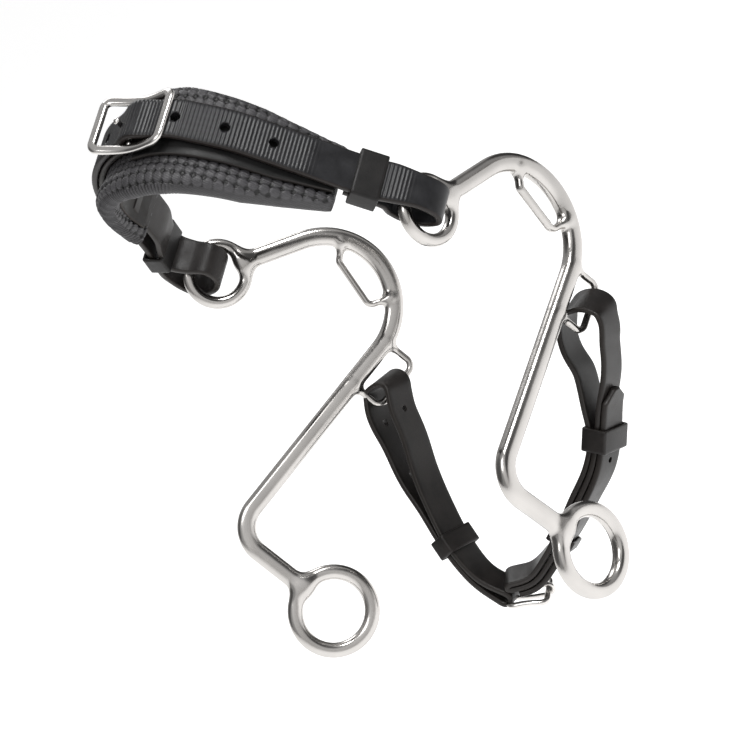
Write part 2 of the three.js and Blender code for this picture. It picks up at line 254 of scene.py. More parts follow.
def steel(name, tint, roughness):
    """Polished steel with faint clouding, fine polishing marks and a few soft dents."""
    m, tree, shader = material(name, tint, roughness, 1.0)
    cloud = noise(tree, 60, 5)
    marks = noise(tree, 900, 3)
    low = [c * 0.86 for c in tint]
    tree.links.new(ramp(tree, cloud, [(0.3, low), (0.7, tint)]), shader.inputs["Base Color"])
    uneven(tree, shader, cloud, roughness * 0.7, roughness * 1.5)
    first = bump(tree, shader, marks, 0.05, 0.0001)
    bump(tree, shader, cloud, 0.12, 0.0008, first)
    return m


def leather(name, dark, light, edge, roughness, grain=2600, grain_strength=0.25):
    """Dyed leather: pebbled grain, cloudy dye, and cut edges in their own colour where wear is 1."""
    m, tree, shader = material(name, dark, roughness, Specular_IOR_Level=0.28)
    cloud = noise(tree, 110, 6, 0.6)
    cells = node(tree, "ShaderNodeTexVoronoi", {"Vector": place(tree), "Scale": grain}).outputs["Distance"]
    fine = noise(tree, 1500, 4)
    dye = ramp(tree, cloud, [(0.35, dark), (0.7, light)])
    edge_wear_and_gap_shade = node(tree, "ShaderNodeAttribute", {}, attribute_name="edge_wear_and_gap_shade").outputs["Fac"]
    mix = node(tree, "ShaderNodeMix", {"Factor": edge_wear_and_gap_shade}, data_type="RGBA")
    tree.links.new(dye, mix.inputs["A"])
    mix.inputs["B"].default_value = (*edge, 1)
    tree.links.new(mix.outputs["Result"], shader.inputs["Base Color"])
    uneven(tree, shader, cloud, roughness * 0.85, roughness * 1.2)
    first = bump(tree, shader, cells, grain_strength, 0.00012)
    bump(tree, shader, fine, grain_strength * 0.6, 0.0001, first)
    return m


def woven(name):
    """Woven leather: painted shade from the stored weave height, near-black in the gaps between strands and
    at each strand's foot, the crowns at the leather's own colour, and fine lines across each strand.
    """
    m, tree, shader = material(name, (0.05, 0.048, 0.05), 0.5)
    height = node(tree, "ShaderNodeAttribute", {}, attribute_name="edge_wear_and_gap_shade").outputs["Fac"]
    cloud = noise(tree, 260, 6)
    lines = node(tree, "ShaderNodeTexWave", {"Vector": place(tree), "Scale": 420, "Distortion": 2.5,
                 "Detail": 2}, bands_direction="DIAGONAL").outputs["Fac"]
    # painted shade: the weave height stored on the points takes the gaps to near black and leaves the
    # crowns at the leather's colour
    crown = ramp(tree, height, [(0.12, (0.0008, 0.0008, 0.0008)), (0.4, (0.014, 0.013, 0.014)),
                                (0.85, (0.05, 0.048, 0.052))])
    shade = ramp(tree, cloud, [(0.25, (0.62, 0.62, 0.62)), (0.75, (1, 1, 1))])
    tree.links.new(multiply(tree, crown, shade), shader.inputs["Base Color"])
    first = bump(tree, shader, lines, 0.35, 0.00025)
    bump(tree, shader, cloud, 0.3, 0.0003, first)
    return m


# Each leather has the darker and lighter shade of its dye, the colour of its cut edges, and its roughness.
STEEL = steel("polished_steel", (0.56, 0.54, 0.52), 0.17)
BUCKLE_STEEL = steel("buckle_steel", (0.66, 0.64, 0.62), 0.18)
RIBBED = leather("ribbed_strap", (0.012, 0.012, 0.013), (0.022, 0.022, 0.024),
                 (0.014, 0.011, 0.01), 0.33, grain=1800, grain_strength=0.12)
# near black: the backing strap's own dark leather, and partly a painted shadow under the ribbed strap
BACKING_LEATHER_AND_SHADOW = leather("smooth_leather", (0.004, 0.004, 0.004), (0.008, 0.008, 0.008),
                 (0.014, 0.012, 0.011), 0.45)
CURB_LEATHER = leather("curb_leather", (0.007, 0.006, 0.0056), (0.015, 0.0125, 0.0115),
                       (0.017, 0.0145, 0.013), 0.36)
KEEPER_LEATHER = leather("keeper_leather", (0.006, 0.0055, 0.0055), (0.011, 0.01, 0.0095),
                         (0.014, 0.012, 0.011), 0.45)
OFF_LEATHER = leather("off_side_leather", (0.012, 0.0105, 0.01), (0.02, 0.017, 0.016),
                      (0.02, 0.017, 0.015), 0.45)
WOVEN = woven("woven_leather")
LINING = leather("lining_leather", (0.012, 0.011, 0.0105), (0.02, 0.018, 0.0165),
                 (0.03, 0.025, 0.022), 0.6)


# ---------------------------------------------------------------- shanks
# A shank is drawn flat, with its nose ring's middle at the origin. The halves are half sizes of a
# bar's section in the plane and out of it.
BAR_HALF = (4.2, 3.5)
NOSE_RING_RADIUS, NOSE_RING_HALF = 12.9, (2.8, 2.8)
REIN_RING_RADIUS, REIN_RING_HALF = 17.4, (3.45, 3.4)
REIN_CENTRE = np.array([51.9, -150.0])
UPPER_ANGLE, ARM_ANGLE, LOWER_ANGLE = 20.5, -128.9, -38.4      # headings of the bar's three runs
TOP_CORNER, TOP_RADIUS = np.array([144.0, 55.0]), 31.0
LOW_CORNER, LOW_RADIUS = np.array([7.0, -114.8]), 14.0
SLOT_PATH = [(55.6, 13.6), (54.6, 5.9), (68.2, -13.6), (77.2, -10.2)]
SLOT_HALF = (1.5, 2.1)
LOOP_LEGS = (-4.5, 20.0)             # where the curb loop's legs leave the arm, from its top
LOOP_REACH = 16.5
LOOP_HALF = (1.5, 1.6)
RING_FILLET, LOOP_FILLET = 4.5, 3.2
VOXEL_QUICK, VOXEL_FULL = 1.0, 0.6
TURNS = {"left": (86.5, 4.3, 61.8), "right": (73.6, 33.1, 47.6)}   # about Y, X and Z


def rounded(corners, radii):
    """A 2-D line through the corners, each inner corner turned on its radius."""
    out = [np.array(corners[0], float)]
    for i in range(1, len(corners) - 1):
        before, at, after = (np.array(corners[i + k], float) for k in (-1, 0, 1))
        a, b = unit(at - before), unit(after - at)
        turn = math.acos(np.clip(a @ b, -1, 1))
        side = math.copysign(1, a[0] * b[1] - a[1] * b[0])
        radius = radii[i - 1]
        start = at - a * radius * math.tan(turn / 2)
        centre = start + side * radius * np.array([-a[1], a[0]])
        for angle in np.linspace(0, side * turn, max(3, int(math.degrees(turn) / 4))):
            c, s = math.cos(angle), math.sin(angle)
            spoke = start - centre
            out.append(centre + [c * spoke[0] - s * spoke[1], s * spoke[0] + c * spoke[1]])
    out.append(np.array(corners[-1], float))
    return np.array(out)


def circle(centre, radius):
    angles = np.linspace(0, 2 * math.pi, 73)
    return np.array(centre) + radius * np.stack([np.cos(angles), np.sin(angles)], 1)


def line_distance(p, line):
    """Distance of each 2-D point from the nearest stretch of a line."""
    best = np.full(len(p), 1e9)
    for a, b in zip(line[:-1], line[1:]):
        d = b - a
        t = np.clip((p - a) @ d / max(d @ d, 1e-9), 0, 1)
        best = np.minimum(best, np.linalg.norm(p - a - t[:, None] * d, axis=1))
    return best


def section(d, z, half, power):
    """About how far a point is outside a bar whose middle is d away in plane and z out of plane."""
    return min(half) * (((d / half[0]) ** power + (np.abs(z) / half[1]) ** power) ** (1 / power) - 1)


def soft_min(a, b, k):
    """The smaller distance, with a fillet about k wide where the two meet."""
    h = np.clip(0.5 + 0.5 * (b - a) / k, 0, 1)
    return b + (a - b) * h - k * h * (1 - h)


ARM = heading(ARM_ANGLE)
ARM_SIDE = np.array([-ARM[1], ARM[0]])
ARM_TOP = TOP_CORNER + ARM * TOP_RADIUS * math.tan(math.radians(UPPER_ANGLE - ARM_ANGLE) / 2)
NOSE_END = TOP_CORNER - heading(UPPER_ANGLE) * (TOP_CORNER @ heading(UPPER_ANGLE) - NOSE_RING_RADIUS)
REIN_END = REIN_CENTRE - heading(LOWER_ANGLE) * REIN_RING_RADIUS
BAR_LINE = rounded([NOSE_END, TOP_CORNER, LOW_CORNER, REIN_END], [TOP_RADIUS, LOW_RADIUS])
SLOT_LINE = rounded(SLOT_PATH, [3.0, 3.0])
LOOP_LINE = rounded([ARM_TOP + ARM * LOOP_LEGS[0], ARM_TOP + ARM * LOOP_LEGS[0] + ARM_SIDE * LOOP_REACH,
                     ARM_TOP + ARM * LOOP_LEGS[1] + ARM_SIDE * LOOP_REACH, ARM_TOP + ARM * LOOP_LEGS[1]],
                    [4.0, 4.0])


def casting(p):
    """Signed distance to the whole shank: bar, rings, slot and loop run together with fillets."""
    flat, z = p[:, :2], p[:, 2]
    bar = section(line_distance(flat, BAR_LINE), z, BAR_HALF, 2.6)
    nose_spoke = np.linalg.norm(flat, axis=1)
    nose = section(np.abs(nose_spoke - NOSE_RING_RADIUS), z, NOSE_RING_HALF, 2.2)
    rein_spoke = np.linalg.norm(flat - REIN_CENTRE, axis=1)
    rein = section(np.abs(rein_spoke - REIN_RING_RADIUS), z, REIN_RING_HALF, 2.4)
    slot = section(line_distance(flat, SLOT_LINE), z, SLOT_HALF, 2.3)
    loop = section(line_distance(flat, LOOP_LINE), z, LOOP_HALF, 2.2)
    body = soft_min(soft_min(bar, nose, RING_FILLET), rein, RING_FILLET)
    return soft_min(soft_min(body, slot, LOOP_FILLET), loop, LOOP_FILLET)


def slope(p):
    """Which way, and how fast, the distance to the casting grows."""
    e = 0.02
    return np.stack([casting(p + e * axis) - casting(p - e * axis) for axis in np.eye(3)], 1) / (2 * e)


def turn_matrix(turn):
    """Turns the flat shank to its place beside the nose."""
    about_y, about_x, about_z = (math.radians(a) for a in turn)
    m = Matrix.Rotation(about_y, 3, "Y") @ Matrix.Rotation(about_x, 3, "X")
    return np.array(m @ Matrix.Rotation(about_z, 3, "Z"))


def rough_tube(line, radius, closed=False):
    """A plain tube round a 2-D line, with flat ends, for the remesh to start from."""
    sides = 10
    line = resample(line, 1.5)
    if closed:
        line = line[:-1]
        along = np.roll(line, -1, 0) - np.roll(line, 1, 0)
    else:
        along = np.gradient(line, axis=0)
    normal = unit(np.stack([-along[:, 1], along[:, 0]], 1))
    ring = [(math.cos(a), math.sin(a)) for a in np.linspace(0, 2 * math.pi, sides, endpoint=False)]
    verts = [[*(p + n * radius * c), radius * s] for p, n in zip(line, normal) for c, s in ring]
    return verts, [f[::-1] for f in tube_faces(len(line), sides, closed)]


def voxelled(parts, size):
    """The parts as one skin of voxels: its points, faces and edges."""
    verts, faces = [], []
    for v, f in parts:
        faces += [tuple(i + len(verts) for i in face) for face in f]
        verts += list(v)
    rough = make("rough_shank", verts, faces, STEEL)
    modifier = rough.modifiers.new("remesh", "REMESH")
    modifier.mode = "VOXEL"
    modifier.voxel_size = size * MM
    done = bpy.data.meshes.new_from_object(rough.evaluated_get(bpy.context.evaluated_depsgraph_get()))
    bpy.data.objects.remove(rough)
    points = np.array([v.co for v in done.vertices]) / MM
    polygons = [tuple(f.vertices) for f in done.polygons]
    edges = np.array([e.vertices[:] for e in done.edges])
    bpy.data.meshes.remove(done)
    return points, polygons, edges


def relax(points, edges):
    """Moves each point half way to the middle of its neighbours."""
    total = np.zeros_like(points)
    count = np.zeros(len(points))
    for a, b in ((0, 1), (1, 0)):
        np.add.at(total, edges[:, a], points[edges[:, b]])
        np.add.at(count, edges[:, a], 1)
    return points + 0.5 * (total / count[:, None] - points)


def shank_surface():
    """The casting's skin: rough voxels, smoothed and drawn onto the true surface three times."""
    size = VOXEL_FULL
    parts = [rough_tube(BAR_LINE, 3.6), rough_tube(circle((0, 0), NOSE_RING_RADIUS), 2.7, True),
             rough_tube(circle(REIN_CENTRE, REIN_RING_RADIUS), 3.2, True),
             rough_tube(SLOT_LINE, 1.6), rough_tube(LOOP_LINE, 1.5)]
    points, faces, edges = voxelled(parts, size)
    for _ in range(3):
        for _ in range(2):
            points = relax(points, edges)
        for _ in range(2):
            g = slope(points)
            step = casting(points) / np.maximum((g * g).sum(1), 0.2)
            points = points - np.clip(step, -0.8, 0.8)[:, None] * g
    return points, faces


def shanks():
    points, faces = shank_surface()
    for side, sign in (("left", 1), ("right", -1)):
        at = HINGE + [sign * RING_HALF_SPAN, 0, 0]
        obj = make(f"{side}_shank_casting", points @ turn_matrix(TURNS[side]).T + at, faces, STEEL)
        parts = ("shank_bar", "nose_ring", "rein_ring", "cheek_slot", "curb_loop")
        fit(obj, f"{side}_shank", *(f"{side}_{part}" for part in parts), slot="polished_steel")


# ---------------------------------------------------------------- straps
def strap_section(half, thick, columns):
    """Points round a strap's section as (across, out, face), with face 0 on the rounded edges."""
    r = 0.55 * thick / 2 + 0.15
    inner = half - r
    points = []
    for side in (1, -1):
        for k in range(columns + 1):
            points.append((side * (2 * inner * k / columns - inner), side * thick / 2, side))
        for a in (67, 45, 22, 0, -22, -45, -67):
            level = (thick / 2 - r) * np.sign(a)
            points.append((side * (inner + r * math.cos(math.radians(a))),
                           side * (level + r * math.sin(math.radians(a))), 0))
    return np.array(points)


def directions(path, closed):
    """The direction along a path at each of its points."""
    if closed:
        return unit(np.roll(path, -1, 0) - np.roll(path, 1, 0))
    return unit(np.gradient(path, axis=0))


def ribbon(name, path, across, half, thick, look, columns, relief, closed=False):
    """A strap swept along a path. across gives its width direction at each point, half its half
    width, and relief(s, x, face) how far a face point stands out, for ribs and creases."""
    n = len(path)
    along = directions(path, closed)
    across = np.broadcast_to(across, path.shape)
    side = unit(across - (across * along).sum(1)[:, None] * along)
    face = np.cross(side, along)
    s = np.concatenate([[0], np.cumsum(np.linalg.norm(np.diff(path, axis=0), axis=1))])
    half = np.broadcast_to(half, n)
    verts, edge_wear_and_gap_shade = [], []
    for i in range(n):
        points = strap_section(half[i], thick, columns)
        out = points[:, 1] + relief(s[i], points[:, 0] / half[i], points[:, 2]) * points[:, 2]
        verts.append(path[i] + points[:, :1] * side[i] + out[:, None] * face[i])
        edge_wear_and_gap_shade.append((points[:, 2] == 0) * 1.0)
    faces = tube_faces(n, len(verts[0]), closed)
    return make(name, np.vstack(verts), faces, look, np.concatenate(edge_wear_and_gap_shade))


def punch(obj, holes, radius, depth):
    """Cuts round holes; each is (place, direction) in millimetres."""
    for at, direction in holes:
        bpy.ops.mesh.primitive_cylinder_add(vertices=28, radius=radius * MM, depth=depth * MM)
        cutter = bpy.context.object
        z = unit(direction)
        x = unit(np.cross(z, [0.3, 0.5, 0.8]))
        set_matrix(cutter, x, np.cross(z, x), z, at * MM)
        modifier = obj.modifiers.new("punch", "BOOLEAN")
        modifier.object = cutter
        modifier.solver = "EXACT"
        bpy.context.view_layer.update()
        cut = bpy.data.meshes.new_from_object(obj.evaluated_get(bpy.context.evaluated_depsgraph_get()))
        obj.modifiers.remove(modifier)
        old = obj.data
        obj.data = cut
        bpy.data.meshes.remove(old)
        bpy.data.objects.remove(cutter)


# ---- the noseband's own plane, and the arch that its straps follow over the nose ----
TILT = math.radians(118.3)           # of the plane, about the line through the nose rings
ARCH_X = np.array([1.0, 0, 0])
ARCH_Y = np.array([0, math.cos(TILT), math.sin(TILT)])
ARCH_Z = np.array([0, -math.sin(TILT), math.cos(TILT)])     # the strap's width direction
ARCH = spline([(71, 13), (65.6, 20.6), (58, 29), (43, 54), (26, 81), (9, 95.5), (-9, 99.5), (-30, 96.5),
               (-47, 86.5), (-58.5, 72), (-64, 58), (-67, 46), (-69.4, 36)], 0.5)
ARCH_S = np.concatenate([[0], np.cumsum(np.linalg.norm(np.diff(ARCH, axis=0), axis=1))])
ARCH_ALONG = unit(np.gradient(ARCH, axis=0))
BUCKLE_S = 121.0                     # how far along the arch the buckle's bar lies
STRAP_HALF, STRAP_THICK = 9.25, 2.6


def arch(s, depth):
    """The 2-D point on the arch at distance s, set in towards the nose by depth."""
    s = np.asarray(s, float)
    p = np.stack([np.interp(s, ARCH_S, ARCH[:, k]) for k in (0, 1)], -1)
    a = unit(np.stack([np.interp(s, ARCH_S, ARCH_ALONG[:, k]) for k in (0, 1)], -1))
    inward = np.stack([-a[..., 1], a[..., 0]], -1)
    return p + inward * np.asarray(depth, float)[..., None]


def to_frame(p, z=0.0):
    """From the noseband's own plane, and z across it, to the frame's axes."""
    p = np.asarray(p, float)
    z = np.broadcast_to(z, p.shape[:-1])
    return HINGE + p[..., :1] * ARCH_X + p[..., 1:2] * ARCH_Y + z[..., None] * ARCH_Z


RIB_PITCH, RIB_HEIGHT = 1.65, 0.3
STRAP_END = 176                      # how far along the arch the ribbed strap starts
LEFT_LOOP = [(71, 13), (73.8, 7), (74.2, 1.8), (71.6, -1.4), (67, -1), (62, 2), (58.4, 7), (57, 12.8),
             (58.6, 18.6), (55, 27.2), (50.8, 34)]
RIGHT_LOOP = [(-70.2, 34.4), (-73, 28.6), (-76.8, 22.2), (-80.2, 15.4), (-80.8, 7.6), (-78, 0),
              (-71, -2.6), (-63.8, -0.8), (-59, 4.4), (-59.5, 10.8), (-66, 15.4), (-70.6, 21.2),
              (-68.8, 27.2), (-64, 33.6), (-58.6, 40), (-55, 48), (-51.6, 57), (-47.5, 65)]
STRAP_HOLES = (102, 82, 61.6, 142)   # along the arch
HOLE_RADIUS = 2.1


def pinched(path):
    """Half width of a strap, less where it turns through its ring."""
    return STRAP_HALF - 1.4 * (1 - smoothstep(path[:, 1], 10, 24))


def ribs(s, x, face):
    """Half-round ribs on the outer face, which leave its edges and the run beside the keeper plain."""
    on_arch = STRAP_END - s
    strong = smoothstep(on_arch, 38, 47) + (1 - smoothstep(on_arch, 14, 20)) * smoothstep(on_arch, -2, 4)
    wave = 0.5 + 0.5 * math.cos(2 * math.pi * s / RIB_PITCH)
    return RIB_HEIGHT * strong * wave ** 0.8 * (face > 0) * smoothstep(-np.abs(x), -1.0, -0.93)


def creases(s, x, face):
    """A creased line just inside each edge, on both faces."""
    return -0.22 * np.exp(-((np.abs(x) - 0.8) / 0.035) ** 2) * (face != 0)


def strap_lift(s):
    """Depth of the ribbed strap, which rises over the buckle's bar."""
    over_bar = 4.0 * np.exp(-(((s - BUCKLE_S) / 8) ** 2))
    under_end = 1.6 * np.exp(-(((s - BUCKLE_S + 17) / 7) ** 2))
    return -(over_bar + under_end)


def nose_straps():
    s = np.arange(STRAP_END, 7, -3.0)
    path = spline(np.vstack([arch(s, strap_lift(s)), LEFT_LOOP]), 0.35)
    left = ribbon("ribbed_nose_strap", to_frame(path), ARCH_Z, pinched(path), STRAP_THICK, RIBBED, 12, ribs)
    holes = []
    for spot in STRAP_HOLES:
        face = to_frame(arch(spot, 0.0))
        holes.append((face, to_frame(arch(spot, 1.0)) - face))
    punch(left, holes, HOLE_RADIUS, 9)
    fit(left, "noseband", "left_nose_strap", slot="ribbed_leather")

    s = np.arange(BUCKLE_S - 3, 193, 5.0)
    path = spline(np.vstack([arch(s, STRAP_THICK + 0.4), RIGHT_LOOP]), 0.7)
    right = ribbon("off_side_nose_strap", to_frame(path), ARCH_Z, pinched(path), STRAP_THICK, OFF_LEATHER,
                   10, creases)
    fit(right, "noseband", "right_nose_strap", slot="ribbed_leather")

    # The backing is a real strap; its near-black colour, and its width and shift out past the ribbed
    # strap's low edge, also paint the shadow that strap casts on the pad.
    s = np.arange(33, BUCKLE_S + 3, 3.0)
    path = spline(arch(s, 3.2), 0.8)
    at = np.linspace(s[0], s[-1], len(path))
    half = np.interp(at, [30, 60, 120], [9.2, 11.2, 11.8])
    shift = np.interp(at, [30, 60, 120], [0.6, 2.0, 3.0])
    backing = ribbon("pad_backing", to_frame(path, shift), ARCH_Z, half, 2.0, BACKING_LEATHER_AND_SHADOW, 12, creases)
    fit(backing, "noseband", "pad_backing_strap", slot="smooth_leather")


# ---- the woven pad ----
# Its half width and its shift to one side, at stations along the arch.
PAD_STATIONS = [30.5, 40, 67, 103, 125, 150, 175, 204]
PAD_HALF = [14.8, 16.5, 22, 25.2, 25, 22.5, 19.5, 16]
PAD_SHIFT = [0.5, 1.5, 3, 3.6, 3.5, 2.6, 1.2, 0]
PAD_TOP, PAD_BOTTOM = 5.0, 12.6      # depths of the woven face and of the pad's underside
PAD_MIDDLE = (PAD_TOP + PAD_BOTTOM) / 2
WEAVE_PITCH, WEAVE_DEPTH = 4.6, 0.9
LACE_PITCH = 1.9                     # of the laced edge round the off side


def weave(s, q):
    """Height of a plain weave of flat strands, 0 in the gaps and 1 on the crowns."""
    u = s / WEAVE_PITCH + 0.5
    v = q / WEAVE_PITCH
    fu, fv = u - np.floor(u) - 0.5, v - np.floor(v) - 0.5
    turned = (np.floor(u) + np.floor(v)) % 2 < 0.5
    along = np.where(turned, fu, fv)
    over = np.where(turned, fv, fu)
    seam = np.exp(-((0.5 - np.abs(over)) / 0.09) ** 2) + 0.45 * np.exp(-((0.5 - np.abs(along)) / 0.07) ** 2)
    corner = np.hypot(0.5 - np.abs(fu), 0.5 - np.abs(fv))
    hole = 1 - smoothstep(corner, 0.1, 0.3)
    crown = 1 - 0.35 * (2 * np.abs(along)) ** 2 - 0.5 * seam
    return np.clip(crown - 1.1 * hole, 0, 1)


def pad_outline(s, count):
    """Section of the pad: rows of place and outward normal, each (across, depth), and the girth."""
    r = (PAD_BOTTOM - PAD_TOP) / 2
    flat = np.interp(s, PAD_STATIONS, PAD_HALF) - r
    girth = np.linspace(0, 4 * flat + 2 * math.pi * r, count, endpoint=False)
    out = []
    for g in girth:
        if g < 2 * flat:
            out.append((-flat + g, PAD_TOP, 0, -1))
            continue
        g -= 2 * flat
        if g < math.pi * r:
            a = g / r
            out.append((flat + r * math.sin(a), PAD_MIDDLE - r * math.cos(a), math.sin(a), -math.cos(a)))
            continue
        g -= math.pi * r
        if g < 2 * flat:
            out.append((flat - g, PAD_BOTTOM, 0, 1))
            continue
        a = (g - 2 * flat) / r
        out.append((-flat - r * math.sin(a), PAD_MIDDLE + r * math.cos(a), -math.sin(a), math.cos(a)))
    return np.array(out), girth - flat


def pad_cover():
    start, end = PAD_STATIONS[0], PAD_STATIONS[-1]
    step = 0.45
    stations = np.linspace(start, end, int((end - start) / step))
    count = 300
    verts, edge_wear_and_gap_shade = [], []
    for s in stations:
        outline, girth = pad_outline(s, count)
        half = np.interp(s, PAD_STATIONS, PAD_HALF)
        x = outline[:, 0]
        close = smoothstep(min(s - start, end - s), -0.01, 2.5)
        squeeze = 0.55 + 0.45 * close ** 0.5
        lace = 0.6 + 0.35 * math.cos(2 * math.pi * s / LACE_PITCH) * smoothstep(s, 92, 112)
        rolled = smoothstep(np.abs(outline[:, 2]), 0.45, 0.75)
        height = weave(s, girth) * (1 - rolled) + lace * rolled
        bulge = 1.5 * np.exp(-((np.abs(x) - (half + 11) / 2) / 4.5) ** 2) * (outline[:, 3] < -0.5)
        relief = WEAVE_DEPTH * (height - 0.5)
        depth = outline[:, 1] + outline[:, 3] * (relief + bulge)
        depth = PAD_MIDDLE + (depth - PAD_MIDDLE) * squeeze
        across = x + outline[:, 2] * relief + np.interp(s, PAD_STATIONS, PAD_SHIFT)
        verts.append(to_frame(arch(np.full(count, s), depth), across))
        # painted shade for the woven material: the weave's height, so its gaps and the dips between lace
        # turns go dark; it is also darker towards the pad's two ends
        edge_wear_and_gap_shade.append(height * (0.45 + 0.55 * close))
    faces = tube_faces(len(stations), count)
    cover = make("woven_pad_cover", np.vstack(verts), faces, WOVEN, np.concatenate(edge_wear_and_gap_shade))
    fit(cover, "noseband", "pad_cover", "pad_core", slot="woven_leather")


def bands(s, x, face):
    """Two raised bands and two rows of stitches on the lining's inner face."""
    ridge = np.exp(-((np.abs(x) - 0.42) / 0.16) ** 4) * 0.7
    stitch = 0.35 * np.exp(-((np.abs(x) - 0.86) / 0.04) ** 2) * (math.sin(s * 2.4) > 0)
    return (ridge - stitch) * (face < 0)


def pad_lining():
    start, end = PAD_STATIONS[0] + 5, PAD_STATIONS[-1] - 5
    path = spline(arch(np.arange(start, end + 1, 3.0), 13.3), 0.9)
    at = np.linspace(start, end, len(path))
    half = np.interp(at, PAD_STATIONS, PAD_HALF) - 5.5
    shift = np.interp(at, PAD_STATIONS, PAD_SHIFT)
    lining = ribbon("pad_lining_leather", to_frame(path, shift), ARCH_Z, half, 1.3, LINING, 26, bands)
    fit(lining, "noseband", "pad_lining", slot="soft_lining")


# ---- keepers ----
KEEPER_WALL = 1.3
KEEPER_ROUND = 0.35                  # how far its edges are rounded back
# Each noseband keeper's side, middle and heading in the arch's plane, the thickness that it holds,
# and its length.
NOSE_KEEPERS = [("left", (56.4, 27.8), -57, 7.4, 12), ("right", (-71.9, 27.8), 66, 6.6, 10)]


def keeper(name, centre, along, across, out, room, length, look):
    """A leather loop: room is its mouth's half width and half height."""
    def loop(grow, corner):
        return rounded_box(room[0] + grow, room[1] + grow, corner, 6)

    inner, outer = loop(0, 0.5), loop(KEEPER_WALL, 1.3)
    soft_inner, soft_outer = loop(0.3, 0.6), loop(KEEPER_WALL - 0.3, 1.2)
    end = length / 2
    edge = end - KEEPER_ROUND
    flat = end - 1.3
    rings = [(soft_outer, -end), (outer, -edge), (outer, -flat), (outer, flat), (outer, edge),
             (soft_outer, end), (soft_inner, end), (inner, edge), (inner, -edge), (soft_inner, -end)]
    verts = [centre + p[0] * across + p[1] * out + z * along for ring, z in rings for p in ring]
    edge_wear_and_gap_shade = [1.0 if abs(z) == end else 0.0 for ring, z in rings for _ in ring]
    faces = grid_faces(len(rings), len(inner), True)
    if np.linalg.det(np.stack([across, out, along])) < 0:
        faces = [f[::-1] for f in faces]
    return make(name, verts, faces, look, edge_wear_and_gap_shade)


def nose_keepers():
    for side, at, angle, stack, length in NOSE_KEEPERS:
        c, s = heading(angle)
        along = c * ARCH_X + s * ARCH_Y
        out = c * ARCH_Y - s * ARCH_X
        obj = keeper(f"{side}_noseband_keeper", to_frame(at), along, ARCH_Z, out,
                     (STRAP_HALF + 0.5, stack / 2 + 0.35), length, KEEPER_LEATHER)
        fit(obj, f"{side}_nose_keeper_body", f"{side}_nose_keeper", slot="smooth_leather")


# ---- buckles ----
NOSE_BUCKLE = (34.5, 24, 3.2)        # length, width and corner radius, along its wire's middle
NOSE_BUCKLE_BOW = 3.2                # how far its middle bar dips below its ends
CURB_BUCKLE_WIDTH = 21
BUCKLE_MIDDLE = np.array([15, -11.6, -179.5])
BUCKLE_REACH = 8.5                   # from the curb buckle's middle to its end bars
STUD_PROFILE = [(0.01, 3.9), (0.8, 3.8), (1.35, 3.4), (1.6, 2.8), (1.5, 2.2), (1.1, 1.8), (1.1, -1.6),
                (0.01, -1.8)]        # (radius, height) pairs, from the head down


def swept(name, points, half, up, closed=False, sides=16, power=2.4):
    """A metal bar of rounded section swept along a line; half is (across, up) half sizes."""
    points = np.asarray(points, float)
    along = directions(points, closed)
    side = unit(np.cross(along, np.broadcast_to(up, points.shape)))
    top = np.cross(side, along)
    verts = []
    for k in range(len(points)):
        shrink = 1.0
        if not closed:
            gap = min(k, len(points) - 1 - k)
            shrink = (0.35, 0.75, 0.93)[gap] if gap < 3 else 1.0
        for a in np.linspace(0, 2 * math.pi, sides, endpoint=False):
            c, s = math.cos(a), math.sin(a)
            scale = shrink / (abs(c) ** power + abs(s) ** power) ** (1 / power)
            verts.append(points[k] + side[k] * half[0] * c * scale + top[k] * half[1] * s * scale)
    return make(name, verts, tube_faces(len(points), sides, closed), BUCKLE_STEEL)


def oblong(length, width, corner):
    """Even points round a rounded oblong ring in its own plane, anticlockwise."""
    line = rounded_box(length / 2, width / 2, corner, 7)
    return resample(np.vstack([line, line[:1]]), 0.7)[:-1]


def basis(along, out):
    """Three square axes: along, and out as nearly as it can be."""
    along = unit(along)
    z = unit(out - (out @ along) * along)
    return along, np.cross(z, along), z


BUCKLE_X, BUCKLE_Y, BUCKLE_Z = basis(np.array([0.86, 0.42, -0.3]), np.array([-0.3, -0.1, -0.95]))


def nose_buckle():
    c, s = heading(168)
    x, y, z = basis(c * ARCH_X + s * ARCH_Y, s * ARCH_X - c * ARCH_Y)
    centre = to_frame((-8.0, 103.4))
    ring = oblong(*NOSE_BUCKLE)
    bow = np.cos(np.clip(ring[:, :1] / 17.2, -1, 1) * math.pi / 2) ** 1.2
    line = centre + ring[:, :1] * x + ring[:, 1:] * y - NOSE_BUCKLE_BOW * bow * z
    frame_ring = swept("noseband_buckle_frame", line, (1.95, 1.35), z, closed=True, power=3.0)
    fit(frame_ring, "noseband", "nose_buckle_frame", slot="buckle_steel")

    across = [centre + t * y - NOSE_BUCKLE_BOW * z for t in np.linspace(-11.6, 11.6, 24)]
    bar = swept("noseband_buckle_bar", across, (1.35, 1.35), z)
    fit(bar, "noseband", "nose_buckle_bar", slot="buckle_steel")

    foot = centre + 6.5 * x - 1.6 * z
    sides = 20
    verts = [foot + r * math.cos(a) * x + r * math.sin(a) * y + h * z for r, h in STUD_PROFILE
             for a in np.linspace(0, 2 * math.pi, sides, endpoint=False)]
    stud = make("noseband_buckle_stud", verts, tube_faces(len(STUD_PROFILE), sides), BUCKLE_STEEL)
    fit(stud, "noseband", "nose_buckle_stud", slot="buckle_steel")


